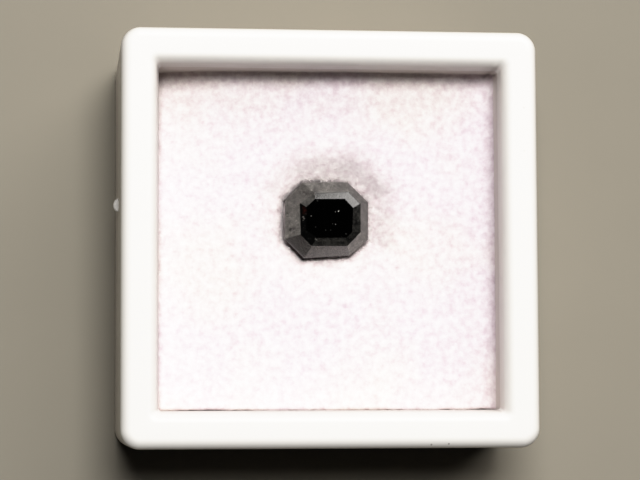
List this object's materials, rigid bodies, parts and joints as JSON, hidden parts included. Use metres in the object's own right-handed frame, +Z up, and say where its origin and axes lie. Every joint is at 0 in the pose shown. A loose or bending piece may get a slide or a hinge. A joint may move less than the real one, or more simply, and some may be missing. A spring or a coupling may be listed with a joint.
{
  "type": "black diamond in a display box",
  "caption": "Octagonal step-cut black diamond lying in a white foam pad in a small open square display box, for showing and keeping a loose stone.",
  "frame": {"origin": "middle of the box's underside, which stands on z = 0", "axes": "+Z up out of the open box; +X and +Y along its sides, +X to the right and +Y away from a person who looks down on it as in the picture"},
  "size_m": [0.0304, 0.03, 0.016],
  "materials": {
    "white_polystyrene": "white moulded polystyrene, satin gloss",
    "white_foam": "white flocked foam, soft and matt",
    "black_diamond": "opaque black, polished facets with fine pits"
  },
  "bodies": {
    "root": {"box_base": "white_polystyrene", "bezel_frame": "white_polystyrene", "foam_pad": "white_foam", "black_diamond": "black_diamond"}
  },
  "joints": []
}
